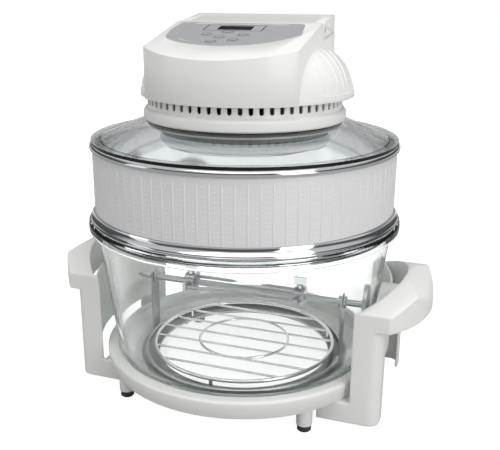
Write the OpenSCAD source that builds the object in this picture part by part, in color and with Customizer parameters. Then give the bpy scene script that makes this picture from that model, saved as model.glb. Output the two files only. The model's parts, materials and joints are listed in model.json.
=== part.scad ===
// Glass-bowl rotisserie oven: a stand with two side brackets, a glass bowl with its spit and rack,
// a steel extender ring, and a glass lid that carries the digital heater head.
// Frame: origin on the table under the bowl's axis, front towards -Y, up +Z, millimetres.

/* [Stand] */
// Height of the shelf that the bowl stands on
stand_h = 28; // [24:1:40]
// Height of the stand's lip above the shelf
lip_h = 17; // [12:1:24]
// Width of the lip around the glass
lip_w = 11; // [8:1:16]
// Wall of the white mouldings
wall = 3; // [2.4:0.1:4]
// Radius of the hole in the shelf
shelf_hole_r = 96; // [60:1:105]
// Diameter of each leg
leg_d = 16; // [12:1:20]
// Height of each rubber foot
foot_h = 7; // [5:1:10]

/* [Bowl] */
// Height of the bowl
bowl_h = 162; // [135:1:195]
// How far the glass rim stands out from the wall under it
rim_w = 8; // [6:0.5:12]
// Height of the glass rim
rim_t = 12; // [9:1:16]
// Outer radius of the bowl's wall just under the rim
bowl_top_r = 157; // [150:1:190]
// Outer radius of the bowl's wall carried down to its base
bowl_base_r = 137.5; // [120:0.5:150]
// Thickness of the glass
glass_t = 4.5; // [3.5:0.5:6]
// Radius of the bowl's lower corner
bowl_corner_r = 24; // [16:1:30]

/* [Brackets] */
// Depth of a bracket from front to back
bracket_d = 157; // [130:1:190]
// How far a bracket's posts reach outwards from its inner wall
post_out = 9; // [6:1:14]
// How far a grip reaches outwards from its bracket's inner wall
grip_out = 46; // [38:1:60]
// Height of the grip's top edge above the table
grip_top_z = 143; // [120:1:160]
// Thickness of the grip from top to bottom
grip_h = 38; // [28:1:44]
// Clearance between a bracket's inner wall and the bowl
bracket_gap = 6.5; // [3:0.5:9]
// Height of the brackets' lower edges above the table
bracket_lift = 3; // [2:1:6]

/* [Extender] */
// Height of the extender ring
ext_h = 79.5; // [60:0.5:100]
// How far the embossed band stands out from the bowl's wall
band_out = 0.5; // [0:0.5:3]
// Diameter of the rolled beads
bead_d = 7; // [5:0.5:9]
// Height of the steel foot below the embossed band
ext_foot_h = 11; // [8:1:15]

/* [Lid and head] */
// Height that the lid's glass rises from its flange to its land
lid_rise = 18.7; // [14:0.1:26]
// Radius of the hole in the lid's glass
lid_hole_r = 92; // [80:1:95]
// How far the collar's bead reaches past the hole in the glass
collar_out = 12; // [11:0.5:16]
// Height of the collar
collar_h = 28; // [24:1:34]
// Number of vent slots
vent_count = 64; // [40:1:72]
// Width of a vent slot
vent_w = 4.3; // [3:0.1:4.8]
// How far the head's front wall stands out from the collar
head_out = 3; // [2:0.5:8]
// How far the sides of the head's middle block stand inside the front wall's radius
side_in = 30; // [24:1:36]
// Height of the head's front wall
head_front_h = 41; // [36:1:50]
// Slope of the control panel, in degrees
head_slope = 14.5; // [8:0.5:18]
// How far the rear of the middle block stands inside the front wall's radius
rear_in = 43; // [36:1:48]
// Clearance of the chrome pan in the hole of the glass
pan_gap = 3; // [2:0.5:6]
// Depth of the chrome pan below its seal
pan_h = 20; // [18:1:30]

/* [Spit] */
// Height of the spit's axis above the table
spit_z = 100; // [92:1:110]
// Diameter of the spit
spit_d = 7; // [5:0.5:9]
// Radius of the magnet discs
disc_r = 22; // [16:1:24]
// Running clearance of a shaft in its bush, on the radius
run_gap = 0.1; // [0.05:0.01:0.1]

/* [Hidden] */

$fn = 96;
gap = 0.3;                                  // clearance between pieces of different bodies
white = "#f0f0ee";
steel = "#b9bcbf";
chrome = "#d5d8da";
dark = "#2b2c2e";

rim_z = stand_h + bowl_h;                   // top of the glass rim
rim_r = bowl_top_r + rim_w;
lip_z = stand_h + lip_h;
// Outer radius of the bowl's straight wall at height z
function bowl_r(z) = bowl_base_r
    + (bowl_top_r - bowl_base_r) * (z - stand_h) / (bowl_h - rim_t);
lip_in_r = bowl_r(lip_z) + 1.5;
lip_r = lip_in_r + lip_w;
skirt_r = lip_r - 4;                        // the skirt leans in towards its lower edge
skirt_z = stand_h - wall;
leg_ring_r = skirt_r - leg_d / 2 - 1.2;

bracket_y = bracket_d / 2;
bracket_in_r = bowl_r(grip_top_z) + bracket_gap;
bracket_x = bracket_in_r + post_out;
grip_x = bracket_in_r + grip_out;
grip_z = grip_top_z - grip_h;
post_d = 23;                                // depth of those posts
pod_r = disc_r + 4;                         // round pod around a magnet disc
pod_in_x = bowl_r(spit_z + pod_r) + 1.2;    // the pod's face next to the glass
pod_wall = 1.6;
drive_x = pod_in_x + pod_wall + 0.6;        // near face of the drive magnet
magnet_t = 4;
motor_x = drive_x + magnet_t + 0.8;
motor_t = 12;
pod_out_x = motor_x + motor_t + 1.6;
screw_r = 2;

ext_z = rim_z + gap;                        // the extender stands on the glass rim
ext_top_z = ext_z + ext_h;
band_r = bowl_top_r + band_out;
band_z0 = ext_z + ext_foot_h;
band_z1 = ext_top_z - bead_d;
skin_t = 0.8;

lid_z = ext_top_z + gap;                    // underside of the lid's flange
lid_t = 3.2;
lid_r = band_r + 1;
flange_w = 9;
land_z = lid_z + lid_t + lid_rise;          // flat land that the collar stands on
land_w = 9;
seal_t = 3;
seal_z = land_z - lid_t - seal_t;
clamp_t = 2;
pan_r = lid_hole_r - pan_gap;
pan_z1 = seal_z - clamp_t;
pan_z0 = pan_z1 - pan_h;
pan_t = 1;

collar_r = lid_hole_r + collar_out;
collar_bead_h = 12;
vent_r = collar_r - 4;
vent_z0 = land_z + collar_bead_h + 3.5;
collar_z1 = land_z + collar_h;
head_z = collar_z1 - 4.5;                   // lower edge of the head
head_r = collar_r + head_out;
block_w = head_r - side_in;                 // half width of the middle block
block_y = head_r - rear_in;                 // its rear face
head_front_z = head_z + head_front_h;
head_t = 3;
// Height of the sloping top face at y
function slope_z(y) = head_front_z + (y + head_r) * tan(head_slope);
break_y = 4;                                // the top flattens behind this line
rear_slope = 8;
function top_z(y) = y < break_y ? slope_z(y) : slope_z(break_y) + (y - break_y) * tan(rear_slope);

hinge_y = block_y - 40;                     // lift handle's axis
hinge_z = top_z(hinge_y) - 9;
handle_w = block_w - 0.5;
handle_drop = 17.5;                         // depth of the handle below the top face
pin_r = 3;
pin_x = block_w - 7;

shaft_r = 3;
motor_z = collar_z1 + 7;
motor_r = 29;
plate_z = land_z + 3;                       // heat shield's upper plate, inside the collar

// ---- shapes used more than once ----
function arc(cx, cy, r, a0, a1, n) = [for (i = [0 : n]) let (a = a0 + (a1 - a0) * i / n)
    [cx + r * cos(a), cy + r * sin(a)]];
module tube(r_out, r_in, z0, z1) {
    translate([0, 0, z0]) difference() {
        cylinder(r = r_out, h = z1 - z0);
        translate([0, 0, -1]) cylinder(r = r_in, h = z1 - z0 + 2);
    }
}
module ring_bar(r, wire_r, z) {             // a wire bent into a circle
    translate([0, 0, z]) rotate_extrude() translate([r, 0]) circle(r = wire_r, $fn = 24);
}
module bar_x(x0, x1, y, z, r) {             // a round bar along X
    translate([x0, y, z]) rotate([0, 90, 0]) cylinder(r = r, h = x1 - x0, $fn = 48);
}
module block_box(x0, x1, y0, y1, z0, z1) {
    translate([x0, y0, z0]) cube([x1 - x0, y1 - y0, z1 - z0]);
}
module top_space(drop) {                    // everything under the head's top face, lowered by drop
    rotate([90, 0, 90]) translate([0, 0, -250]) linear_extrude(500)
        polygon([[-head_r - 60, 0], [block_y + 120, 0],
                 [block_y + 120, top_z(block_y + 120) - drop],
                 [break_y, slope_z(break_y) - drop],
                 [-head_r - 60, slope_z(-head_r - 60) - drop]]);
}

// ---- stand ----
foot_d = leg_d - 2;
foot_stem_r = 3;
flange_z0 = skirt_z - wall;                 // bracket flanges lie under the stand's shelf
flange_x0 = lip_in_r - 29;
flange_x1 = lip_in_r - 3;
screw_at = [lip_in_r - 15, 42];             // bracket screws, mirrored front to back
pilot_gap = 0.03;
leg_a = max(45, asin((bracket_y + leg_d / 2 + 3) / leg_ring_r));    // legs stay clear of the brackets
module at_legs() {
    for (a = [leg_a, 180 - leg_a, 180 + leg_a, -leg_a])
        rotate([0, 0, a]) translate([leg_ring_r, 0, 0]) children();
}
module at_bracket_screws() {
    for (sx = [-1, 1], sy = [-1, 1]) translate([sx * screw_at.x, sy * screw_at.y, 0]) children();
}
module base_ring() {
    color(white) difference() {
        union() {
            rotate_extrude($fn = 180) polygon([
                [shelf_hole_r, skirt_z], [lip_in_r + wall, skirt_z], [lip_in_r + wall, lip_z - wall],
                [lip_r - wall - 0.5, lip_z - wall], [skirt_r - wall, skirt_z], [skirt_r, skirt_z],
                [lip_r, lip_z - 6], [lip_r, lip_z - 2], [lip_r - 2, lip_z], [lip_in_r, lip_z],
                [lip_in_r, stand_h], [shelf_hole_r, stand_h]]);
            at_legs() difference() {
                translate([0, 0, foot_h]) cylinder(d = leg_d, h = skirt_z - foot_h + 0.5);
                translate([0, 0, foot_h - 1]) cylinder(r = foot_stem_r, h = 9);
            }
        }
        at_bracket_screws() translate([0, 0, skirt_z - 1]) cylinder(r = screw_r + pilot_gap, h = 3.2);
    }
}
module rubber_feet() {
    color(dark) at_legs() {
        rotate_extrude() polygon([[0, 0], [foot_d / 2 - 1, 0], [foot_d / 2, 1],
                                  [foot_d / 2, foot_h], [0, foot_h]]);
        translate([0, 0, foot_h]) cylinder(r = foot_stem_r, h = 7);
    }
}

// ---- side brackets, drawn for +X and mirrored for -X ----
// Radius of a curve that falls by sag over half the bracket's depth
function curve_r(sag) = (pow(bracket_y, 2) + pow(sag, 2)) / (2 * sag);
grip_r = curve_r(grip_x - bracket_x - 5.7); // outer curve, which ends just outside the posts
rim_x = bracket_in_r + wall + 15;           // inner curve's furthest point
rim_curve_r = curve_r(35.4);
crown_sag = 20;                             // fall of the grip's top towards its ends
crown_r = curve_r(crown_sag);
nose_r = 31;                                // rounding of the grip's outer edge
corner_r = 12;                              // rounding of the posts' outer corners
module grip_plan(inset) {
    difference() {
        intersection() {
            translate([grip_x - grip_r, 0]) circle(r = grip_r - inset, $fn = 180);
            translate([0, -bracket_y + inset]) square([400, bracket_d - 2 * inset]);
        }
        translate([rim_x - rim_curve_r, 0]) circle(r = rim_curve_r + inset, $fn = 180);
    }
}
module grip_solid(inset) {
    crown_a = asin((bracket_y + 5) / crown_r);
    intersection() {
        translate([0, 0, grip_z - (inset > 0 ? 1 : 0)]) linear_extrude(grip_h + 2) grip_plan(inset);
        rotate([90, 0, 90]) linear_extrude(400) polygon(concat(
            [[-bracket_y - 5, 0], [bracket_y + 5, 0]],
            arc(0, grip_top_z - crown_r, crown_r - inset, 90 - crown_a, 90 + crown_a, 16)));
        rotate([90, 0, 0]) translate([0, 0, -200]) linear_extrude(400) polygon(concat(
            [[0, 0], [grip_x - inset, 0]],
            arc(grip_x - nose_r, grip_top_z - nose_r, nose_r - inset, 0, 90, 8),
            [[0, grip_top_z - inset]]));
    }
}
module post_plan() {                        // front post: panel, rounded corner and outer return
    x0 = sqrt(pow(bracket_in_r, 2) - pow(bracket_y, 2));
    difference() {
        union() {
            translate([x0, -bracket_y]) square([bracket_x - corner_r - x0, post_d]);
            translate([x0, -bracket_y + corner_r]) square([bracket_x - x0, post_d - corner_r]);
            translate([bracket_x - corner_r, -bracket_y + corner_r]) circle(r = corner_r);
        }
        translate([x0 - 1, -bracket_y + wall]) square([bracket_x - corner_r - x0 + 1, post_d]);
        translate([x0 - 1, -bracket_y + corner_r]) square([bracket_x - wall - x0 + 1, post_d]);
        translate([bracket_x - corner_r, -bracket_y + corner_r]) circle(r = corner_r - wall);
    }
}
module bracket_half() {
    x0 = sqrt(pow(bracket_in_r, 2) - pow(bracket_y, 2));
    translate([0, 0, bracket_lift]) linear_extrude(grip_z + 14 - bracket_lift) post_plan();
    block_box(flange_x0 - 7, x0 + 2, -bracket_y, -bracket_y + wall, bracket_lift, skirt_z);
}
module inner_wall() {
    intersection() {
        tube(bracket_in_r + wall, bracket_in_r, lip_z + 4, grip_top_z - crown_sag);
        block_box(0, 400, -bracket_y, bracket_y, 0, 400);
    }
}
module bracket_body() {
    difference() {
        union() {
            bracket_half();
            mirror([0, 1, 0]) bracket_half();
            inner_wall();
            block_box(flange_x0, flange_x1, -bracket_y, bracket_y, flange_z0, skirt_z);
            difference() {
                grip_solid(0);
                grip_solid(wall);
            }
        }
        for (sy = [-1, 1]) translate([screw_at.x, sy * screw_at.y, flange_z0 - 1])
            cylinder(r = screw_r + 0.2, h = wall + 2);
    }
}
module left_bracket() {
    color(white) mirror([1, 0, 0]) bracket_body();
}
module right_bracket() {
    color(white) {
        difference() {
            bracket_body();
            bar_x(bracket_in_r - 15, pod_out_x, 0, spit_z, pod_r - pod_wall);
        }
        difference() {
            bar_x(pod_in_x, pod_out_x - 1.6, 0, spit_z, pod_r);
            bar_x(pod_in_x + pod_wall, pod_out_x, 0, spit_z, pod_r - pod_wall);
        }
    }
}
module bracket_screws() {
    color(steel) at_bracket_screws() {
        translate([0, 0, flange_z0]) cylinder(r = screw_r, h = wall + 2);
        translate([0, 0, flange_z0 - 2]) cylinder(r = screw_r * 2, h = 2);
    }
}

// ---- spit drive: a magnet turned behind the glass ----
bush_r = 2.5;
module drive_gearmotor() {
    color(steel) difference() {
        bar_x(motor_x, motor_x + motor_t, 0, spit_z, pod_r - pod_wall);
        bar_x(motor_x - 1, motor_x + 7, 0, spit_z, bush_r + run_gap);
    }
}
module motor_cover() {
    color(white) bar_x(pod_out_x - 1.6, pod_out_x, 0, spit_z, pod_r);
}
module drive_magnet() {
    color(dark) {
        bar_x(drive_x, drive_x + magnet_t, 0, spit_z, disc_r);
        bar_x(drive_x + 1, motor_x + 6.5, 0, spit_z, bush_r);
    }
}

// ---- bowl ----
bowl_in_r = bowl_top_r - glass_t;           // inside of the wall under the rim
corner_in_r = bowl_corner_r - glass_t;
bowl_floor_z = stand_h + glass_t;
lean = atan((bowl_top_r - bowl_base_r) / (bowl_h - rim_t));
corner_cx = bowl_r(stand_h + bowl_corner_r) - bowl_corner_r / cos(lean);
module glass_bowl() {
    color("lightcyan", 0.4) rotate_extrude($fn = 180) polygon(concat(
        [[0, stand_h]],
        arc(corner_cx, stand_h + bowl_corner_r, bowl_corner_r, -90, -lean, 8),
        [[bowl_r(rim_z - rim_t), rim_z - rim_t]],
        arc(rim_r - 3, rim_z - rim_t + 4, 3, -60, 0, 2),
        arc(rim_r - 3, rim_z - 3, 3, 0, 90, 3),
        arc(bowl_in_r + 3, rim_z - 3, 3, 90, 180, 3),
        [[bowl_in_r, rim_z - rim_t]],
        arc(corner_cx, stand_h + bowl_corner_r, corner_in_r, -lean, -90, 8),
        [[0, bowl_floor_z]]));
}

// ---- rack and spit ----
rack_r = corner_cx - 16;
rack_wire = 2;
rack_z = bowl_floor_z + 7.5;
module low_rack() {
    color(chrome) {
        ring_bar(rack_r, rack_wire, rack_z);
        ring_bar(rack_r / 2, rack_wire * 0.75, rack_z);
        for (y = [-75 : 25 : 75])
            bar_x(-sqrt(pow(rack_r, 2) - y * y), sqrt(pow(rack_r, 2) - y * y), y, rack_z, 1.3);
        for (a = [30 : 120 : 270]) rotate([0, 0, a]) translate([rack_r, 0, bowl_floor_z])
            cylinder(r = rack_wire, h = rack_z - bowl_floor_z);
    }
}
spit_r = spit_d / 2;
stand_x = corner_cx - 5;                    // spit stand's uprights
strip_t = 2;
strip_w = 16;
module spit_stand() {
    wire_r = 2.2;
    color(steel) {
        ring_bar(stand_x - 1, wire_r, bowl_floor_z + wire_r);
        for (sx = [-1, 1]) difference() {
            translate([sx * stand_x, 0, 0]) block_box(-strip_t / 2, strip_t / 2, -strip_w / 2,
                strip_w / 2, bowl_floor_z + 1, spit_z + 7);
            bar_x(sx * stand_x - 3, sx * stand_x + 3, 0, spit_z, spit_r + run_gap);
            translate([sx * stand_x, 0, 0])
                block_box(-3, 3, -spit_r - run_gap, spit_r + run_gap, spit_z, spit_z + 10);
        }
    }
}
spit_disc_x = bowl_r(spit_z - disc_r) - glass_t - 1.2;     // outer face of the driven magnet
module spit_rod() {
    color(steel) {
        bar_x(-stand_x - 14, spit_disc_x - magnet_t, 0, spit_z, spit_r);
        translate([-stand_x - 14, 0, spit_z]) rotate([0, -90, 0])
            cylinder(r1 = spit_r, r2 = 0.6, h = 9, $fn = 48);
        for (x = [-stand_x + 2, stand_x - 4]) bar_x(x, x + 2, 0, spit_z, spit_r + 3);
        bar_x(stand_x + 2, stand_x + 4, 0, spit_z, spit_r + 3);
    }
}
module spit_magnet() {
    color(steel) bar_x(spit_disc_x - magnet_t, spit_disc_x, 0, spit_z, disc_r);
}
fork_x = stand_x - 47;
hub_r = 10;
hub_l = 12;
tine_y = 17;
tine_l = fork_x - 22;
screw_hole_r = 2.2;
module fork() {                             // drawn for -X, tines pointing to +X
    difference() {
        union() {
            bar_x(-fork_x - hub_l / 2, -fork_x + hub_l / 2, 0, spit_z, hub_r);
            block_box(-fork_x - 2, -fork_x + 2, -tine_y - 4, tine_y + 4, spit_z - 4, spit_z + 4);
        }
        bar_x(-fork_x - hub_l, -fork_x + hub_l, 0, spit_z, spit_r + run_gap);
        translate([-fork_x, 0, spit_z]) cylinder(r = screw_hole_r, h = hub_r + 2, $fn = 48);
    }
    for (sy = [-1, 1]) {
        bar_x(-fork_x + 1, -fork_x + tine_l, sy * tine_y, spit_z, 1.8);
        translate([-fork_x + tine_l, sy * tine_y, spit_z]) rotate([0, 90, 0])
            cylinder(r1 = 1.8, r2 = 0.3, h = 8, $fn = 32);
    }
}
module thumb_screw(sx) {
    translate([sx * fork_x, 0, spit_z]) {
        translate([0, 0, spit_r + run_gap + 0.1])
            cylinder(r = screw_hole_r - run_gap, h = hub_r - spit_r + 2, $fn = 48);
        translate([0, 0, hub_r + 0.4]) cylinder(r = 4, h = 3, $fn = 48);
        translate([0, 0, hub_r + 3]) block_box(-7, 7, -1.3, 1.3, 0, 9);
    }
}
module left_fork() { color(steel) fork(); }
module right_fork() { color(steel) mirror([1, 0, 0]) fork(); }
module left_thumb_screw() { color(chrome) thumb_screw(-1); }
module right_thumb_screw() { color(chrome) thumb_screw(1); }

// ---- extender ring ----
band_in_r = band_r - skin_t;
module extender_band() { color("gainsboro") tube(band_r, band_in_r, band_z0, band_z1); }
module extender_bead() {
    color(chrome) rotate_extrude($fn = 180) union() {
        translate([band_r - 0.5, ext_top_z - bead_d / 2]) circle(d = bead_d, $fn = 48);
        translate([band_in_r - 1, band_z1 - 5]) square([1, bead_d / 2 + 5]);
    }
}
foot_r = rim_r - 2;
seat_r = bowl_in_r + 1;
module extender_foot() {
    color(chrome) rotate_extrude($fn = 180) polygon([
        [band_in_r - 0.4, band_z0], [band_r, band_z0], [band_r + 0.6, ext_z + 7],
        [foot_r - 0.5, ext_z + 3.5], [foot_r, ext_z], [seat_r, ext_z], [seat_r, ext_z + 1.2],
        [foot_r - 2.5, ext_z + 1.2], [band_r - 0.6, ext_z + 6]]);
}
module extender_liner() {
    liner_r = band_in_r - 1;                // against the bead's tongue
    spigot_r = bowl_in_r - 1.5;             // hangs inside the bowl and centres the ring
    color(chrome) rotate_extrude($fn = 180) polygon([
        [spigot_r - skin_t, ext_z - 10], [spigot_r, ext_z - 10], [spigot_r, ext_z + 1.2],
        [liner_r, ext_z + 1.2], [liner_r, band_z1], [liner_r - skin_t, band_z1],
        [liner_r - skin_t, ext_z + 2], [spigot_r - skin_t, ext_z + 2]]);
}

// ---- lid ----
land_r = lid_hole_r + land_w;
module lid_glass() {
    r1 = lid_r - flange_w;
    color("lightcyan", 0.4) rotate_extrude($fn = 180) polygon([
        [lid_hole_r, land_z - lid_t], [land_r, land_z - lid_t], [r1 - 2, lid_z],
        [lid_r, lid_z], [lid_r, lid_z + lid_t], [r1, lid_z + lid_t],
        [land_r, land_z], [lid_hole_r, land_z]]);
}
module lid_seal() { color(dark) tube(land_r - 1, collar_spigot_r, seal_z, land_z - lid_t); }
collar_spigot_r = lid_hole_r - 0.5;
spigot_in_r = lid_hole_r - 10;
clamp_in_r = spigot_in_r - 2;
clamp_screw_r = lid_hole_r - 7.5;
module at_clamp_screws() {
    for (a = [45 : 90 : 315]) rotate([0, 0, a]) translate([clamp_screw_r, 0, 0]) children();
}
module clamp_ring() {
    color(steel) difference() {
        tube(land_r - 2, clamp_in_r, pan_z1, seal_z);
        at_clamp_screws() translate([0, 0, pan_z1 - 1]) cylinder(r = screw_r, h = clamp_t + 2);
    }
}
module clamp_screws() {
    color(steel) at_clamp_screws() {
        translate([0, 0, pan_z1 - 1]) cylinder(r = screw_r * 0.75, h = clamp_t + 7, $fn = 48);
        translate([0, 0, pan_z1 - 3]) cylinder(r = screw_r * 1.4, h = 2, $fn = 48);
    }
}
plate_r = collar_r - 9.5;                   // heat shield and its step in the collar
module vent_slot() {
    translate([vent_r - 4, -vent_w / 2, vent_z0 + vent_w / 2])
        cube([8, vent_w, collar_z1 - 2 - vent_z0 - vent_w / 2]);
    translate([vent_r - 4, 0, vent_z0 + vent_w / 2]) rotate([0, 90, 0])
        cylinder(d = vent_w, h = 8, $fn = 24);
}
module vent_collar() {
    color(white) difference() {
        rotate_extrude($fn = 180) polygon([
            [spigot_in_r, seal_z], [collar_spigot_r, seal_z], [collar_spigot_r, land_z],
            [collar_r - 1.5, land_z], [collar_r, land_z + 1.5],
            [collar_r, land_z + collar_bead_h - 3], [collar_r - 2.5, land_z + collar_bead_h],
            [vent_r, land_z + collar_bead_h], [vent_r, collar_z1], [vent_r - 2.5, collar_z1],
            [vent_r - 2.5, land_z + 9], [plate_r + 0.5, plate_z], [spigot_in_r, plate_z]]);
        for (i = [0 : vent_count - 1]) rotate([0, 0, 360 / vent_count * i]) vent_slot();
        at_clamp_screws() translate([0, 0, seal_z - 1])
            cylinder(r = screw_r * 0.75 + pilot_gap, h = 8, $fn = 48);
    }
}

// ---- head ----
wing_y = 8;                                 // the wings' round shape sits a little behind the axis
wing_r = head_r + 3;
// Points of a smooth curve from a to d, pulled towards b and c
function smooth_curve(a, b, c, d, n) = [for (i = [0 : n]) let (t = i / n, s = 1 - t)
    s * s * s * a + 3 * s * s * t * b + 3 * s * t * t * c + t * t * t * d];
function wing_profile(t) = concat(
    [[0, -t], [wing_r - t, -t]],
    smooth_curve([wing_r - t, 3], [wing_r - 3.5 - t, 22 - 0.3 * t],
                 [wing_r - 11 - t, 40 - 0.8 * t], [wing_r - 38 - t, 50.5 - t], 10),
    [[0, 50.5 - t]]);
module head_solid(t) {
    intersection() {
        translate([0, 0, head_z - t]) cylinder(r = head_r - t, h = 200, $fn = 180);
        block_box(-block_w + t, block_w - t, -300, block_y - t, head_z - t, 500);
        top_space(t * 1.04);
    }
    translate([0, wing_y, head_z]) rotate_extrude($fn = 180) polygon(wing_profile(t));
}
arm_w = 9.5;
pivot_r = 8.6;                              // round front end of each handle arm
bar_d = 12;                                 // depth of the handle's cross bar
bar_sweep_r = block_y - bar_d - hinge_y;    // its front face is round about the hinge
recess_drop = handle_drop + 0.5;
arm_in_x = handle_w - arm_w - 0.5;          // inner side of the arms' recesses
arm_swing_r = pivot_r + 2.1;                // reach of a lifted arm in front of its axis
module handle_recess(g) {                   // room for the folded handle, grown by g
    difference() {
        union() {
            for (sx = [0, 1]) mirror([sx, 0, 0]) {
                block_box(arm_in_x - g, block_w + 5, hinge_y, block_y + 5, head_z, 500);
                block_box(arm_in_x - g, block_w + 5, hinge_y - arm_swing_r - g, block_y + 5,
                    hinge_z - g, 500);
                bar_x(arm_in_x - g, block_w + 5, hinge_y, hinge_z, pivot_r + 0.6 + g);
            }
            difference() {
                block_box(-block_w - 5, block_w + 5, hinge_y, block_y + 5, head_z, 500);
                bar_x(-block_w - 6, block_w + 6, hinge_y, hinge_z, bar_sweep_r - 0.5 - g);
            }
        }
        top_space(recess_drop + g);
    }
}
notch_w = 80;
notch_h = 16;
module finger_notch(g) {                    // room for fingers under the cross bar
    intersection() {
        block_box(-notch_w / 2 - g, notch_w / 2 + g, block_y - 18 - g, block_y + 30, 0, 500);
        difference() {
            top_space(recess_drop - 1);
            top_space(recess_drop + notch_h + g);
        }
    }
}
panel_t = 2.2;
panel_w = block_w - 15;
panel_d = 66;                               // from the straight rear edge to the front
panel_r = 80;
module panel_plan() {
    intersection() {
        translate([0, panel_r - panel_d]) circle(r = panel_r, $fn = 180);
        polygon([[-panel_w, 0], [panel_w, 0], [panel_w + 5, -32], [panel_w + 5, -90],
                 [-panel_w - 5, -90], [-panel_w - 5, -32]]);
    }
}
module panel_layer(deep) {                  // the panel's outline from the top face down to deep
    difference() {
        intersection() {
            translate([0, 0, head_z]) linear_extrude(200) panel_plan();
            top_space(0);
        }
        top_space(deep);
    }
}
module on_slope(x, y, depth) {              // a frame lying on the sloping top, depth below it
    translate([x, y, slope_z(y)]) rotate([head_slope, 0, 0]) translate([0, 0, -depth]) children();
}
board_depth = 14;
board_size = [96, 52];
board_y = -44;
part_h = 9;                                 // tallest part on the board's underside
board_low = slope_z(board_y + 22) - (board_depth + 1.6 + part_h) / cos(head_slope);
motor_h = board_low - 2 - motor_z;          // the motor fills the room under the board
module at_board_corners() {
    for (sx = [-1, 1], sy = [-1, 1])
        on_slope(0, board_y, board_depth)
            translate([sx * (board_size.x / 2 - 6), sy * (board_size.y / 2 - 6), 0]) children();
}
gland_x = 30;
gland_z = head_z + 15;
gland_r = 7;
plunger_x = handle_w - arm_w / 2 - 1;
plunger_y = block_y - 20;
plunger_r = 2;
recess_floor = top_z(plunger_y) - recess_drop;
module head_shell() {
    color(white) difference() {
        union() {
            difference() {
                head_solid(0);
                difference() {
                    head_solid(head_t);
                    handle_recess(head_t);
                    finger_notch(head_t);
                    panel_backing();
                }
            }
            intersection() {
                at_board_corners() cylinder(r = 4, h = board_depth - 1);
                top_space(1);
            }
        }
        handle_recess(0);
        finger_notch(0);
        panel_layer(panel_t);
        for (sx = [-1, 1]) bar_x(sx * pin_x - 12, sx * pin_x + 12, hinge_y, hinge_z, pin_r);
        translate([plunger_x, plunger_y, recess_floor - 10])
            cylinder(r = plunger_r + run_gap, h = 20, $fn = 48);
        translate([gland_x, 0, gland_z]) rotate([-90, 0, 0]) cylinder(r = gland_r, h = 200);
        at_board_corners() translate([0, 0, -1]) cylinder(r = screw_r * 0.75 + pilot_gap, h = 8, $fn = 24);
    }
}
module panel_backing() {                    // keeps a full wall under the panel's recess
    difference() {
        translate([0, 0, head_z]) linear_extrude(200) panel_plan();
        top_space(panel_t + head_t);
    }
}
base_t = 2.5;                               // base plate that closes the head above the collar
module head_base_plate() {
    color("silver") difference() {
        intersection() {
            head_solid(head_t);
            block_box(-200, 200, -200, 200, collar_z1, collar_z1 + base_t);
        }
        translate([0, 0, collar_z1 - 1]) cylinder(r = 14, h = base_t + 2);
        for (a = [0 : 60 : 300]) rotate([0, 0, a]) translate([head_r - 41, 0, collar_z1 - 1])
            cylinder(r = 12, h = base_t + 2);
    }
}
// keys: name order left to right, top to bottom
key_at = [[-28, -34], [-9, -26], [10, -34], [-12, -42], [5, -50], [-15, -56]];
key_w = 12;
key_h = 6.5;
key_proud = 0.5;
key_deep = 1.4;
module key_plan(grow) {
    for (s = [-1, 1]) translate([s * (key_w - key_h) / 2, 0]) circle(d = key_h + 2 * grow, $fn = 32);
    square([key_w - key_h, key_h + 2 * grow], center = true);
}
module key(i) {
    color("silver") on_slope(key_at[i].x, key_at[i].y, key_deep)
        linear_extrude(key_deep + key_proud) key_plan(0);
}
window_at = [-6, -12];
window_size = [36, 13];
window_t = 1;
module control_panel() {
    color("darkgray") difference() {
        panel_layer(panel_t);
        for (p = key_at) on_slope(p.x, p.y, panel_t + 1) linear_extrude(panel_t + 2) key_plan(gap);
        on_slope(window_at.x, window_at.y, window_t) linear_extrude(3) square(window_size, center = true);
    }
}
module display_window() {
    color("black") on_slope(window_at.x, window_at.y, window_t)
        linear_extrude(window_t) square(window_size, center = true);
}
module key_light() { key(0); }
module key_up() { key(1); }
module key_start() { key(2); }
module key_mode() { key(3); }
module key_down() { key(4); }
module key_power() { key(5); }
module control_board() {
    color("darkgreen") on_slope(0, board_y, board_depth + 1.6) difference() {
        union() {
            linear_extrude(1.6) square(board_size, center = true);
            translate([-14, 4, -part_h]) cube([30, 18, part_h]);
            for (x = [-36, -24, 30]) translate([x, -12, -12]) cylinder(d = 9, h = 12, $fn = 32);
        }
        for (sx = [-1, 1], sy = [-1, 1])
            translate([sx * (board_size.x / 2 - 6), sy * (board_size.y / 2 - 6), -1])
                cylinder(r = screw_r, h = 4, $fn = 24);
    }
}
module panel_screws() {
    color(steel) at_board_corners() {
        translate([0, 0, -1.6]) cylinder(r = screw_r * 0.75, h = 6.6, $fn = 24);
        translate([0, 0, -3.6]) cylinder(r = screw_r * 1.5, h = 2, $fn = 24);
    }
}

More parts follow.
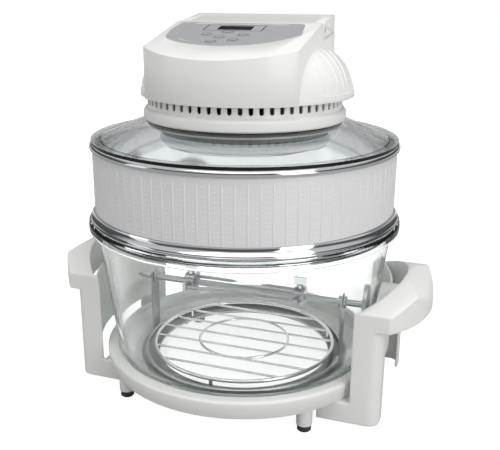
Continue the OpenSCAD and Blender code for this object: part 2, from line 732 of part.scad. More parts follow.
// ---- motor and fans ----
motor_bolt_r = 24;
mount_t = 2;
module at_motor_bolts() {
    for (a = [45 : 90 : 315]) rotate([0, 0, a]) translate([motor_bolt_r, 0, 0]) children();
}
module motor_mount() {
    color("silver") difference() {
        union() {
            translate([0, 0, motor_z - mount_t]) cylinder(r = motor_r + 4, h = mount_t);
            at_motor_bolts() translate([0, 0, collar_z1 + base_t])
                cylinder(r = 5, h = motor_z - mount_t - collar_z1 - base_t);
        }
        translate([0, 0, collar_z1]) cylinder(r = 14, h = 20);
        at_motor_bolts() translate([0, 0, collar_z1]) cylinder(r = screw_r, h = 20, $fn = 24);
    }
}
module fan_motor() {
    color(dark) difference() {
        union() {
            translate([0, 0, motor_z]) cylinder(r = motor_r, h = motor_h);
            translate([0, 0, motor_z - 4]) cylinder(r = 9, h = 4);
        }
        translate([0, 0, motor_z - 5]) cylinder(r = shaft_r + run_gap, h = motor_h + 2);
        at_motor_bolts() translate([0, 0, motor_z - 1])
            cylinder(r = screw_r * 0.75 + pilot_gap, h = 8, $fn = 24);
    }
}
module motor_screws() {
    color(steel) at_motor_bolts() {
        translate([0, 0, collar_z1 + base_t])
            cylinder(r = screw_r * 0.75, h = motor_z - collar_z1 + 3, $fn = 24);
    }
}
fan_hub_z = pan_z1 - 7;
cool_z = plate_z + 5;
module fan_shaft() {
    color(chrome) translate([0, 0, fan_hub_z - 3])
        cylinder(r = shaft_r, h = motor_z + motor_h - 6 - fan_hub_z);
}
module fan(z, r_hub, r_tip, h, blades) {
    translate([0, 0, z]) difference() {
        union() {
            cylinder(r = r_hub, h = h);
            for (i = [0 : blades - 1]) rotate([0, 0, 360 / blades * i])
                translate([r_hub - 1, 0, h / 2]) rotate([24, 0, 0])
                    translate([0, -h * 0.75, -0.6]) cube([r_tip - r_hub, h * 1.5, 1.2]);
            cylinder(r = r_tip - 2, h = 1);
        }
        translate([0, 0, -10]) cylinder(r = shaft_r, h = h + 20);
        translate([0, 0, h]) cylinder(r = r_tip + 5, h = 20);
        translate([0, 0, -20]) cylinder(r = r_tip + 5, h = 20);
    }
}
module cooling_fan() { color("white") fan(cool_z, 9, plate_r - 10.5, 11, 9); }
module circulation_fan() { color(steel) fan(fan_hub_z, 8, pan_r - 45, 5, 6); }

// ---- heater ----
module heat_shield() {
    color(steel) difference() {
        translate([0, 0, plate_z]) cylinder(r = plate_r, h = 1.2);
        translate([0, 0, plate_z - 1]) cylinder(r = shaft_r + 3, h = 4);
    }
}
refl_r = pan_r - pan_t;
module reflector() {
    color(chrome) difference() {
        translate([0, 0, pan_z1 - 1]) cylinder(r = refl_r, h = 1);
        translate([0, 0, pan_z1 - 3]) cylinder(r = shaft_r + 3, h = 4);
        at_clamp_screws() translate([0, 0, pan_z1 - 3]) cylinder(r = screw_r * 0.75 + 0.1, h = 4, $fn = 48);
    }
}
lamp_r = pan_r - 31;
tube_r = 4.5;
lamp_z = pan_z0 + 8;
module halogen_lamp() { color("ivory") ring_bar(lamp_r, tube_r, lamp_z); }
module lamp_holders() {
    color("white") for (sx = [-1, 1]) difference() {
        translate([sx * lamp_r, 0, 0]) block_box(-7, 7, -9, 9, lamp_z - 1, pan_z1 - 1);
        ring_bar(lamp_r, tube_r, lamp_z);
    }
}
module element_pan() {
    color(chrome) {
        tube(pan_r, refl_r, pan_z0, pan_z1);
        tube(pan_r, pan_r - 9, pan_z0, pan_z0 + pan_t);
    }
}
module fan_guard() {
    guard_r = pan_r - 9;
    color(chrome) translate([0, 0, pan_z0]) {
        tube(guard_r, guard_r - 3, 0, pan_t);
        for (r = [16 : 16 : guard_r - 10]) tube(r + 1, r - 1, 0, pan_t);
        for (a = [0 : 45 : 135]) rotate([0, 0, a]) block_box(-guard_r + 1, guard_r - 1, -1, 1, 0, pan_t);
    }
}
module sensor_probe() {
    color(steel) translate([0, pan_r - 15, pan_z0 + 4]) cylinder(r = 2, h = pan_h - 5, $fn = 24);
}

// ---- lift handle and its safety switch ----
module handle_layer(x0, x1, y0, y1) {
    difference() {
        intersection() {
            block_box(x0, x1, y0, y1, head_z, 500);
            top_space(0.2);
        }
        top_space(handle_drop);
    }
}
module lift_handle() {
    color(white) difference() {
        union() {
            for (sx = [0, 1]) mirror([sx, 0, 0]) {
                handle_layer(handle_w - arm_w, handle_w, hinge_y, block_y);
                bar_x(handle_w - arm_w, handle_w, hinge_y, hinge_z, pivot_r);
            }
            difference() {
                handle_layer(-handle_w, handle_w, hinge_y, block_y);
                bar_x(-handle_w - 1, handle_w + 1, hinge_y, hinge_z, bar_sweep_r);
            }
        }
        for (sx = [-1, 1]) bar_x(sx * pin_x - 20, sx * pin_x + 20, hinge_y, hinge_z, pin_r + run_gap);
    }
}
module handle_pins() {
    color(steel) for (sx = [0, 1]) mirror([sx, 0, 0])
        bar_x(handle_w - arm_w - 4, handle_w - 0.4, hinge_y, hinge_z, pin_r);
}
module safety_switch() {
    color(dark) difference() {
        block_box(plunger_x - 7, plunger_x + 3, plunger_y - 9, plunger_y + 9,
                  recess_floor - 16, recess_floor - 4.6);
        translate([plunger_x, plunger_y, recess_floor - 14])
            cylinder(r = plunger_r + run_gap, h = 20, $fn = 48);
    }
}
module switch_plunger() {
    color("silver") translate([plunger_x, plunger_y, recess_floor - 9])
        cylinder(r = plunger_r, h = 9, $fn = 48);
}
module cord_gland() {
    color(dark) difference() {
        translate([gland_x, wing_y + wing_r - 14, gland_z]) rotate([-90, 0, 0]) cylinder(r = gland_r, h = 18);
        translate([gland_x, 0, gland_z]) rotate([-90, 0, 0]) cylinder(r = 3.6, h = 200);
    }
}

base_ring();
rubber_feet();
left_bracket();
right_bracket();
bracket_screws();
drive_gearmotor();
motor_cover();
drive_magnet();
glass_bowl();
low_rack();
spit_stand();
spit_rod();
spit_magnet();
left_fork();
right_fork();
left_thumb_screw();
right_thumb_screw();
extender_band();
extender_bead();
extender_foot();
extender_liner();
lid_glass();
lid_seal();
clamp_ring();
vent_collar();
head_shell();
head_base_plate();
control_panel();
display_window();
key_light();
key_power();
key_up();
key_mode();
key_down();
key_start();
control_board();
panel_screws();
fan_motor();
motor_mount();
motor_screws();
fan_shaft();
cooling_fan();
circulation_fan();
heat_shield();
reflector();
halogen_lamp();
lamp_holders();
element_pan();
fan_guard();
sensor_probe();
lift_handle();
handle_pins();
safety_switch();
switch_plunger();
cord_gland();
clamp_screws();
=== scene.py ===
"""Glass-bowl rotisserie oven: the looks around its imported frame.

Metres, with the origin on the table under the bowl's axis, front towards -Y and up +Z.
Profiles and small sizes are written in millimetres and turned to metres when a mesh is made.
"""

import json
import math

import bmesh
import bpy
from mathutils import Matrix, Vector
from mathutils.bvhtree import BVHTree


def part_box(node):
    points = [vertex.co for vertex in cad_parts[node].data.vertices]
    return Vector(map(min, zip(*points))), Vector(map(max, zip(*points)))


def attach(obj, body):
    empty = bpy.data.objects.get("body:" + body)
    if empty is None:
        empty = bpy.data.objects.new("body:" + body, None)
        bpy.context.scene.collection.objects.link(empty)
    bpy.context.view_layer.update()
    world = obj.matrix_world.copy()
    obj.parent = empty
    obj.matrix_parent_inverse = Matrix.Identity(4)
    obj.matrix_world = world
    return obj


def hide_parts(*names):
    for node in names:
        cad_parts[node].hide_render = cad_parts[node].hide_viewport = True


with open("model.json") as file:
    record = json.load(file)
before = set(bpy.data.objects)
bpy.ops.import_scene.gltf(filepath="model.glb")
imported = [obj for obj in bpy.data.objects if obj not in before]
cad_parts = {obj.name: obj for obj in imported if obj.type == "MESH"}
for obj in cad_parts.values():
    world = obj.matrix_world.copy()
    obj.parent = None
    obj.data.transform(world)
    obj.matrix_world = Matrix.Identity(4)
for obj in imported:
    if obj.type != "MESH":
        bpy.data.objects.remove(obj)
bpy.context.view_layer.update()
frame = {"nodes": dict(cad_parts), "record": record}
NODES = frame["nodes"]
MM = 0.001


def span(node):
    """Lowest and highest corner of a CAD node, in millimetres."""
    low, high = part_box(node)
    return low / MM, high / MM


# ---- camera, on the front right and a little above the lid ----
CAMERA_OUT = 0.7573       # level distance from the bowl's axis
CAMERA_UP = 0.4081
CAMERA_ROUND = math.radians(19.5)
LOOK_DOWN = math.radians(17.21)
LOOK_RIGHT = math.radians(0.442)
ROLL = math.radians(0.365)
LENS = 52.42              # for a 36 mm wide sensor


def make_camera():
    camera = bpy.data.objects.new("camera", bpy.data.cameras.new("camera"))
    bpy.context.scene.collection.objects.link(camera)
    camera.data.sensor_width = 36.0
    camera.data.lens = LENS
    camera.data.clip_start = 0.05
    aim = CAMERA_ROUND - LOOK_RIGHT
    ahead = Vector((-math.sin(aim) * math.cos(LOOK_DOWN),
                    math.cos(aim) * math.cos(LOOK_DOWN), -math.sin(LOOK_DOWN)))
    level = ahead.cross(Vector((0, 0, 1))).normalized()
    above = level.cross(ahead)
    right = level * math.cos(ROLL) + above * math.sin(ROLL)
    up = above * math.cos(ROLL) - level * math.sin(ROLL)
    place = Matrix((right, up, -ahead)).transposed().to_4x4()
    place.translation = (CAMERA_OUT * math.sin(CAMERA_ROUND),
                         -CAMERA_OUT * math.cos(CAMERA_ROUND), CAMERA_UP)
    camera.matrix_world = place
    bpy.context.scene.camera = camera


make_camera()


# ---- shader nodes ----
def hex_colour(code):
    """An sRGB hex colour as linear RGBA."""
    parts = [int(code[i:i + 2], 16) / 255 for i in (1, 3, 5)]
    linear = [c / 12.92 if c <= 0.04045 else ((c + 0.055) / 1.055) ** 2.4 for c in parts]
    return (*linear, 1.0)


def add(tree, kind, settings=None, links=None):
    """Adds a node. A key of settings is a socket's name or number, or else a property.

    The links feed the node's sockets, by name or number, from the outputs of other nodes.
    """
    node = tree.nodes.new(kind)
    for key, value in (settings or {}).items():
        if isinstance(key, int) or key in node.inputs:
            node.inputs[key].default_value = value
        else:
            setattr(node, key, value)
    for key, source in (links or {}).items():
        tree.links.new(source, node.inputs[key])
    return node


def start_material(name, **sockets):
    """A material with one Principled shader; the shader's own sockets take what is the same all over."""
    made = bpy.data.materials.new(name)
    made.use_nodes = True
    tree = made.node_tree
    tree.nodes.clear()
    shader = add(tree, "ShaderNodeBsdfPrincipled", {k.replace("_", " "): v for k, v in sockets.items()})
    add(tree, "ShaderNodeOutputMaterial", links={"Surface": shader.outputs[0]})
    place = add(tree, "ShaderNodeTexCoord").outputs["Object"]
    return made, tree, shader, place


def per_metre(millimetres):
    """Noise scale whose features are about so many millimetres wide."""
    return 1.0 / (millimetres * MM)


BROAD = 22                # times the grain: how wide the patches of slightly different colour are


def mottle(tree, shader, place, colours, grain, depth, rough):
    """Grain millimetres wide that varies the roughness and dents the surface, and broader colour patches."""
    noise = add(tree, "ShaderNodeTexNoise", {"Scale": per_metre(grain), "Detail": 2.0}, {"Vector": place})
    broad = add(tree, "ShaderNodeTexNoise", {"Scale": per_metre(grain * BROAD), "Detail": 1.0},
                {"Vector": place})
    one, other = (hex_colour(code) for code in colours)
    tint = add(tree, "ShaderNodeMix", {"data_type": "RGBA", 6: one, 7: other}, {0: broad.outputs["Fac"]})
    level = add(tree, "ShaderNodeMapRange", {3: rough[0], 4: rough[1]}, {0: noise.outputs["Fac"]})
    bump = add(tree, "ShaderNodeBump", {"Strength": 1.0, "Distance": depth * MM},
               {"Height": noise.outputs["Fac"]})
    tree.links.new(tint.outputs[2], shader.inputs["Base Color"])
    tree.links.new(level.outputs[0], shader.inputs["Roughness"])
    tree.links.new(bump.outputs[0], shader.inputs["Normal"])


def gloss_white_abs():
    """Injection-moulded ABS with a polished skin: soft reflections, a trace of sink and orange peel."""
    made, tree, shader, place = start_material("gloss white ABS", IOR=1.52)
    mottle(tree, shader, place, ("#f1f1ef", "#eaeae8"), grain=4.0, depth=0.004, rough=(0.30, 0.32))
    return made


def satin_grey_abs():
    """Spark-textured ABS: a fine even grain that turns reflections into a sheen."""
    made, tree, shader, place = start_material("satin grey ABS", IOR=1.52)
    mottle(tree, shader, place, ("#a7a8aa", "#a1a2a4"), grain=0.8, depth=0.008, rough=(0.38, 0.48))
    return made


def key_abs():
    """Moulded key caps, a shade lighter and smoother than the panel around them."""
    made, tree, shader, place = start_material("smooth light grey ABS", IOR=1.52)
    mottle(tree, shader, place, ("#b4b5b7", "#aeafb1"), grain=1.2, depth=0.01, rough=(0.28, 0.34))
    return made


def smoked_acrylic():
    """Black display window: a dark cast sheet with a hard gloss and a little dust."""
    made, tree, shader, place = start_material("smoked acrylic", IOR=1.49, Specular_IOR_Level=0.25)
    mottle(tree, shader, place, ("#070809", "#0b0c0d"), grain=2.0, depth=0.002, rough=(0.16, 0.20))
    return made


def borosilicate():
    """Pressed borosilicate glass: clear, with gentle press waves that bend what is behind it."""
    made, tree, shader, place = start_material(
        "clear borosilicate glass", Base_Color=hex_colour("#fbfdfc"), IOR=1.47, Roughness=0.015,
        Transmission_Weight=1.0)
    waves = add(tree, "ShaderNodeTexNoise", {"Scale": per_metre(45.0), "Detail": 0.5}, {"Vector": place})
    bump = add(tree, "ShaderNodeBump", {"Strength": 1.0, "Distance": 0.08 * MM},
               {"Height": waves.outputs["Fac"]})
    tree.links.new(bump.outputs[0], shader.inputs["Normal"])
    see_through = add(tree, "ShaderNodeBsdfTransparent", {"Color": hex_colour("#eef2f1")})
    ray = add(tree, "ShaderNodeLightPath")
    pass_light = add(tree, "ShaderNodeMixShader", links={
        0: ray.outputs["Is Shadow Ray"], 1: shader.outputs[0], 2: see_through.outputs[0]})
    output = next(n for n in tree.nodes if n.type == "OUTPUT_MATERIAL")
    tree.links.new(pass_light.outputs[0], output.inputs["Surface"])
    return made


def polished_stainless():
    """Mirror-polished stainless steel: sharp dark and light reflections with faint buffing haze."""
    made, tree, shader, place = start_material("polished stainless steel", Metallic=1.0)
    mottle(tree, shader, place, ("#d6d8d9", "#cfd1d3"), grain=1.5, depth=0.002, rough=(0.05, 0.11))
    return made


def embossed_stainless_painted_sheen():
    """Stainless with an embossed pattern, made mostly diffuse: its almost white colour is painted sheen,
    standing in for the steel's soft reflection.
    """
    made, tree, shader, place = start_material(
        "embossed stainless steel", Metallic=0.12, Specular_IOR_Level=0.6)
    # painted sheen: the near-white base colour stands in for the reflection of the pressed steel
    mottle(tree, shader, place, ("#e9e9ea", "#e4e4e5"), grain=1.0, depth=0.004, rough=(0.34, 0.38))
    return made


def brushed_stainless():
    """Satin stainless strip and wire: fine grain that stretches highlights."""
    made, tree, shader, place = start_material("satin stainless steel", Metallic=1.0)
    grain = add(tree, "ShaderNodeMapping", {"Scale": (1.0, 1.0, 8.0)}, {"Vector": place})
    mottle(tree, shader, grain.outputs[0], ("#b3b5b7", "#a7a9ab"), grain=1.2, depth=0.006, rough=(0.24, 0.36))
    return made


def zinc_plate():
    """Zinc-plated steel screws: pale, slightly blue, with a soft even gloss."""
    made, tree, shader, place = start_material("zinc-plated steel", Metallic=1.0)
    mottle(tree, shader, place, ("#b8bcc2", "#a9adb2"), grain=0.6, depth=0.004, rough=(0.28, 0.40))
    return made


def black_nylon():
    """Glass-filled black nylon: matt, with a slightly mottled moulded skin."""
    made, tree, shader, place = start_material("black glass-filled nylon", IOR=1.53)
    mottle(tree, shader, place, ("#1a1b1d", "#222325"), grain=0.8, depth=0.03, rough=(0.48, 0.62))
    return made


def seal_silicone():
    """Black silicone gasket: soft, matt and a little dusty."""
    made, tree, shader, place = start_material("black silicone", IOR=1.41)
    mottle(tree, shader, place, ("#0d0d0e", "#151516"), grain=1.5, depth=0.02, rough=(0.42, 0.55))
    return made


def foot_rubber():
    """Dark grey moulded rubber with a fine matt tooth."""
    made, tree, shader, place = start_material("grey foot rubber", IOR=1.52)
    mottle(tree, shader, place, ("#3b3c3e", "#333436"), grain=1.0, depth=0.05, rough=(0.62, 0.78))
    return made


def solder_mask():
    """Green printed board: glossy lacquer over faint copper relief."""
    made, tree, shader, place = start_material("green solder mask", IOR=1.5)
    mottle(tree, shader, place, ("#1d5a37", "#174a2d"), grain=2.5, depth=0.03, rough=(0.25, 0.40))
    return made


def lamp_ceramic():
    """Unglazed steatite lamp holders: chalky white with a fine pitted grain."""
    made, tree, shader, place = start_material("unglazed steatite", IOR=1.55)
    mottle(tree, shader, place, ("#e4dfd3", "#d9d3c5"), grain=0.9, depth=0.05, rough=(0.70, 0.85))
    return made


def lamp_quartz():
    """Frosted quartz lamp tube: milky, with a glossy outside."""
    made, tree, shader, place = start_material("frosted quartz", IOR=1.46, Transmission_Weight=0.35)
    mottle(tree, shader, place, ("#f4eee0", "#e9e1cf"), grain=3.0, depth=0.01, rough=(0.18, 0.30))
    return made


def fan_nylon():
    """Natural nylon fan: off-white and slightly waxy."""
    made, tree, shader, place = start_material("natural nylon", IOR=1.53)
    mottle(tree, shader, place, ("#dcd9d0", "#d2cfc5"), grain=1.4, depth=0.02, rough=(0.40, 0.52))
    return made


FINISHES = {
    "white_abs": gloss_white_abs(), "panel_grey": satin_grey_abs(), "key_grey": key_abs(),
    "display_black": smoked_acrylic(), "clear_glass": borosilicate(),
    "polished_steel": polished_stainless(), "embossed_steel": embossed_stainless_painted_sheen(),
    "plain_steel": brushed_stainless(), "zinc_screw": zinc_plate(), "black_plastic": black_nylon(),
    "seal_rubber": seal_silicone(), "foot_rubber": foot_rubber(), "board_green": solder_mask(),
    "white_ceramic": lamp_ceramic(), "lamp_quartz": lamp_quartz(), "fan_nylon": fan_nylon(),
}

for part in frame["record"]["subparts"]:
    node = NODES[part["node"]]
    node.data.materials.clear()
    node.data.materials.append(FINISHES[part["material_slot"]])


# ---- mesh makers ----
SMOOTH_BELOW = math.radians(32)


def finish_piece(piece, body, slot, nodes=()):
    """Gives a finished mesh its body and its finish, and hides the CAD nodes that it stands for."""
    piece.data.materials.clear()
    piece.data.materials.append(FINISHES[slot])
    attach(piece, body)
    if nodes:
        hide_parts(*nodes)
    return piece


def mesh_piece(name, mesh):
    piece = bpy.data.objects.new(name, mesh)
    bpy.context.scene.collection.objects.link(piece)
    return piece


def closed_mesh(name, bm):
    """Ends a build in bmesh: faces outward, then a mesh of its own."""
    bmesh.ops.recalc_face_normals(bm, faces=bm.faces)
    mesh = bpy.data.meshes.new(name)
    bm.to_mesh(mesh)
    bm.free()
    return mesh


def skin(bm, one, other):
    """Faces all round between two rings of vertices."""
    for j in range(len(one)):
        k = (j + 1) % len(one)
        bm.faces.new((one[j], one[k], other[k], other[j]))


def smooth(mesh, angle=SMOOTH_BELOW):
    """Smooth shading, with edges sharper than the angle left hard."""
    bm = bmesh.new()
    bm.from_mesh(mesh)
    for face in bm.faces:
        face.smooth = True
    for edge in bm.edges:
        edge.smooth = len(edge.link_faces) == 2 and edge.calc_face_angle(0.0) < angle
    bm.to_mesh(mesh)
    bm.free()


def applied(piece):
    """Turns a piece's modifiers into its mesh."""
    graph = bpy.context.evaluated_depsgraph_get()
    mesh = bpy.data.meshes.new_from_object(piece.evaluated_get(graph))
    piece.modifiers.clear()
    piece.data = mesh
    return piece


MERGE = 0.01 * MM
FLAT_BELOW = math.radians(0.6)
ROUND_ABOVE = math.radians(28)


def copied(name, node, flatten):
    """A copy of a CAD node as one welded mesh; flatten joins the triangles of each flat face."""
    mesh = NODES[node].data.copy()
    mesh.name = name
    bm = bmesh.new()
    bm.from_mesh(mesh)
    bmesh.ops.remove_doubles(bm, verts=bm.verts, dist=MERGE)
    if flatten:
        bmesh.ops.dissolve_limit(bm, angle_limit=FLAT_BELOW, verts=bm.verts, edges=bm.edges)
    bm.to_mesh(mesh)
    bm.free()
    return mesh_piece(name, mesh)


def softened(name, node, soft):
    """A copy of a CAD node with its edges rounded by soft millimetres, as moulded edges are."""
    piece = copied(name, node, flatten=True)
    bevel = piece.modifiers.new("rounding", "BEVEL")
    bevel.width = soft * MM
    bevel.segments = 2
    bevel.limit_method = "ANGLE"
    bevel.angle_limit = ROUND_ABOVE
    bevel.use_clamp_overlap = True
    applied(piece)
    smooth(piece.data)
    return piece


def rounded_all_over(name, node, cell, passes, keep):
    """A copy of a CAD node with every edge worn round, as on a hand grip, in few faces again."""
    piece = copied(name, node, flatten=False)
    even = piece.modifiers.new("even cells", "REMESH")
    even.mode = "VOXEL"
    even.voxel_size = cell * MM
    wear = piece.modifiers.new("worn edges", "SMOOTH")
    wear.factor = 0.5
    wear.iterations = passes
    fewer = piece.modifiers.new("fewer faces", "DECIMATE")
    fewer.ratio = keep
    applied(piece)
    smooth(piece.data, math.radians(60))
    return piece


def arc(cx, cz, radius, start, end, steps=8):
    """Points of a round stretch of a profile, in degrees."""
    return [(cx + radius * math.cos(math.radians(start + (end - start) * i / steps)),
             cz + radius * math.sin(math.radians(start + (end - start) * i / steps)))
            for i in range(steps + 1)]


TURN_STEPS = 192
TINY = 0.001 * MM


def turned(name, profile):
    """A closed profile of (radius, height) points in millimetres, turned about the bowl's axis."""
    bm = bmesh.new()
    rings = []
    for i in range(TURN_STEPS):
        turn = Vector((math.cos(2 * math.pi * i / TURN_STEPS), math.sin(2 * math.pi * i / TURN_STEPS), 0))
        rings.append([bm.verts.new((turn * r + Vector((0, 0, z))) * MM) for r, z in profile])
    for here, after in zip(rings, rings[1:] + rings[:1]):
        skin(bm, here, after)
    bmesh.ops.remove_doubles(bm, verts=bm.verts, dist=TINY)
    bmesh.ops.dissolve_degenerate(bm, dist=TINY, edges=bm.edges)
    mesh = closed_mesh(name, bm)
    smooth(mesh)
    return mesh_piece(name, mesh)


def skinned(bm, outlines):
    """Closed solid skinned through outlines of equal point counts, in millimetres."""
    rings = [[bm.verts.new(point * MM) for point in outline] for outline in outlines]
    for low, high in zip(rings, rings[1:]):
        skin(bm, low, high)
    bm.faces.new(list(reversed(rings[0])))
    bm.faces.new(rings[-1])


# ---- white mouldings ----
# the piece's name: its CAD node, its body and how far its edges are rounded
MOULDINGS = {
    "stand_ring": ("base_ring", "stand", 0.7), "collar": ("vent_collar", "lid", 0.35),
    "head_cover": ("head_shell", "lid", 1.6), "lift_bar": ("lift_handle", "handle", 1.2),
}
for name, (node, body, soft) in MOULDINGS.items():
    finish_piece(softened(name, node, soft), body, "white_abs", [node])
for side in ("left", "right"):
    grip = rounded_all_over(side + "_grip_bracket", side + "_bracket", cell=1.1, passes=7, keep=0.35)
    finish_piece(grip, "stand", "white_abs", [side + "_bracket"])


# ---- extender: embossed band and steel foot ----
BAND_LOW, BAND_HIGH = span("extender_band")
BAND_R = BAND_HIGH.x
RIB_PITCH = 11.25
RIBS = round(2 * math.pi * BAND_R / RIB_PITCH)
RIB_FOOT = BAND_LOW.z + 1.0
RIB_TOP = BAND_HIGH.z - 5.5
RIB_END = 1.5             # length over which a rib's end sinks into the band
RIB_SECTION = ((-1.1, -0.3), (-0.8, 0.2), (-0.3, 0.4), (0.3, 0.4), (0.8, 0.2), (1.1, -0.3))
PIP_COLUMNS = (0.38, 0.66)    # as shares of the pitch
PIP_ROWS = 12
PIP_SIDES = 6
PIP_MARGIN = 3.0
PIP_RINGS = ((1.1, -0.2), (0.5, 0.3))    # radius and height of the pip's foot and top


def on_band(along, height, rise):
    """A point on the band, along millimetres round from its start and rise proud of it."""
    turn = along / BAND_R
    return Vector(((BAND_R + rise) * math.cos(turn), (BAND_R + rise) * math.sin(turn), height))


def emboss_panel():
    """One pitch of the embossing: a tall rib and two columns of pips beside it."""
    bm = bmesh.new()
    ends = ((RIB_FOOT, 0.2), (RIB_FOOT + RIB_END, 1.0), (RIB_TOP - RIB_END, 1.0), (RIB_TOP, 0.2))
    skinned(bm, [[on_band(u * (0.5 + full / 2), z, r * full) for u, r in RIB_SECTION] for z, full in ends])
    turns = [2 * math.pi * i / PIP_SIDES for i in range(PIP_SIDES)]
    for column in PIP_COLUMNS:
        middle = column * RIB_PITCH
        for row in range(PIP_ROWS):
            z = RIB_FOOT + PIP_MARGIN + row * (RIB_TOP - RIB_FOOT - 2 * PIP_MARGIN) / (PIP_ROWS - 1)
            skinned(bm, [[on_band(middle + size * math.cos(a), z + size * math.sin(a), rise) for a in turns]
                         for size, rise in PIP_RINGS])
    return closed_mesh("emboss_panel", bm)


def ring_of(name, unit, count, finish):
    """Repeats a unit mesh count times about the bowl's axis."""
    group = bpy.data.node_groups.new(name + " round the axis", "GeometryNodeTree")
    group.interface.new_socket("Unit", in_out="INPUT", socket_type="NodeSocketGeometry")
    how_many = group.interface.new_socket("Count", in_out="INPUT", socket_type="NodeSocketInt")
    group.interface.new_socket("Ring", in_out="OUTPUT", socket_type="NodeSocketGeometry")
    given = add(group, "NodeGroupInput")
    points = add(group, "GeometryNodePoints", links={"Count": given.outputs["Count"]})
    index = add(group, "GeometryNodeInputIndex")
    step = add(group, "ShaderNodeMath", {"operation": "DIVIDE", 0: 2 * math.pi},
               {1: given.outputs["Count"]})
    turn = add(group, "ShaderNodeMath", {"operation": "MULTIPLY"},
               {0: index.outputs[0], 1: step.outputs[0]})
    spin = add(group, "ShaderNodeCombineXYZ", links={"Z": turn.outputs[0]})
    placed = add(group, "GeometryNodeInstanceOnPoints", links={
        "Points": points.outputs[0], "Instance": given.outputs["Unit"], "Rotation": spin.outputs[0]})
    real = add(group, "GeometryNodeRealizeInstances", links={0: placed.outputs[0]})
    dressed = add(group, "GeometryNodeSetMaterial", {"Material": finish}, {"Geometry": real.outputs[0]})
    add(group, "NodeGroupOutput", links={0: dressed.outputs[0]})
    piece = mesh_piece(name, unit)
    repeat = piece.modifiers.new("repeat", "NODES")
    repeat.node_group = group
    repeat[how_many.identifier] = count
    applied(piece)
    smooth(piece.data, math.radians(50))
    return piece


embossing = ring_of("embossing", emboss_panel(), RIBS, FINISHES["embossed_steel"])
finish_piece(embossing, "extender", "embossed_steel")


def flared_foot():
    """The polished foot: it flares outward to a rolled edge that stands on the glass rim."""
    low, high = span("extender_foot")
    steps = 6
    flare, flare_drop, rolled = 4.0, 5.2, 1.5
    profile = (
        [(BAND_R - 0.9, BAND_LOW.z), (BAND_R, BAND_LOW.z), (BAND_R + 0.1, BAND_LOW.z - 1.2)]
        + [(BAND_R + 0.3 + flare * (i / steps) ** 2, BAND_LOW.z - 1.8 - flare_drop * i / steps)
           for i in range(steps + 1)]
        + arc(high.x - rolled, low.z + rolled, rolled, 60, -90, 8)
        + [(BAND_R - 6.0, low.z), (BAND_R - 6.0, low.z + 1.0), (BAND_R - 0.9, low.z + 1.4)])
    finish_piece(turned("flared_foot", profile), "extender", "polished_steel", ["extender_foot"])


flared_foot()

# ---- heater pan under the lid, with its black gasket band ----
def heater_pan():
    """A drawn cup with a round lower corner and, above it, a step that the gasket sits in."""
    low, high = span("element_pan")
    corner, sheet, floor_w = 4.0, 1.2, 9.0
    step_low, step_high = high.z - 7.0, high.z - 6.0
    wall = (
        arc(high.x - corner, low.z + corner, corner, -90, 0, 6)
        + [(high.x, step_low), (high.x - 1.0, step_high), (high.x - 1.0, high.z),
           (high.x - 1.0 - sheet, high.z), (high.x - 1.0 - sheet, low.z + corner)]
        + arc(high.x - corner, low.z + corner, corner - sheet, -20, -90, 4)
        + [(high.x - floor_w, low.z + sheet), (high.x - floor_w, low.z)])
    finish_piece(turned("heater_pan", wall), "lid", "polished_steel", ["element_pan"])
    band = [(high.x - 0.9, high.z - 5.6), (high.x, high.z - 5.2), (high.x, high.z - 0.6),
            (high.x - 0.9, high.z - 0.2)]
    finish_piece(turned("pan_gasket", band), "lid", "seal_rubber")


heater_pan()


# ---- fine lines printed on the control panel and round its keys ----
ABOVE = 1000              # a ray from here starts outside everything
DOWN = (0, 0, -1)


def surface_of(node):
    """A ray test against a CAD node, in millimetres: the point that it meets and the normal there."""
    points = [NODES[node].matrix_world @ v.co / MM for v in NODES[node].data.vertices]
    faces = [list(f.vertices) for f in NODES[node].data.polygons]
    tree = BVHTree.FromPolygons(points, faces)
    return lambda start, towards: tree.ray_cast(Vector(start), Vector(towards))[:2]


def top_of(node):
    """The height in millimetres of a node's top face at x, y."""
    face = surface_of(node)
    return lambda x, y: face((x, y, ABOVE), DOWN)[0].z


def panel_level():
    """The height of the control panel's plane at x, y, whether or not it has a hole there."""
    panel_top = top_of("control_panel")
    clear_x, front, back = -50, -40, -5    # two spots clear of the keys and the window
    low, high = panel_top(clear_x, front), panel_top(clear_x, back)
    return lambda x, y: low + (y - front) * (high - low) / (back - front)


PANEL_PLANE = panel_level()
PRINT_DEPTH, PRINT_RISE = -0.08, 0.06


def printed(name, outline, width, level, body, slot):
    """A closed outline of (x, y) laid as a thin ribbon on a surface whose height level gives."""
    bm = bmesh.new()
    centre = sum((Vector(p) for p in outline), Vector((0, 0))) / len(outline)
    rings = []
    for grow, lift in ((0, PRINT_DEPTH), (0, PRINT_RISE), (1, PRINT_RISE), (1, PRINT_DEPTH)):
        spots = [Vector(p) + (Vector(p) - centre).normalized() * (width * grow) for p in outline]
        rings.append([bm.verts.new(Vector((p.x, p.y, level(p.x, p.y) + lift)) * MM) for p in spots])
    for one, other in zip(rings, rings[1:] + rings[:1]):
        skin(bm, one, other)
    finish_piece(mesh_piece(name, closed_mesh(name, bm)), body, slot)


def oval(middle, wide, deep, points=36):
    turns = [2 * math.pi * i / points for i in range(points)]
    return [(middle.x + wide / 2 * math.cos(a), middle.y + deep / 2 * math.sin(a)) for a in turns]


def rectangle(x0, x1, y0, y1, points=10):
    """A rectangle with points on each side, so that it can follow a surface."""
    corners = [Vector(c) for c in ((x0, y0), (x1, y0), (x1, y1), (x0, y1))]
    return [a.lerp(b, i / points) for a, b in zip(corners, corners[1:] + corners[:1]) for i in range(points)]


PANEL_MIDDLE = Vector((-5, -30))
PANEL_EDGE = [(-66, 3.5), (-71, -6), (-71, -28), (-64, -49), (-36, -63), (0, -67), (34, -57), (57, -34),
              (62, -8), (58, 3.5), (25, 3.5), (-33, 3.5)]


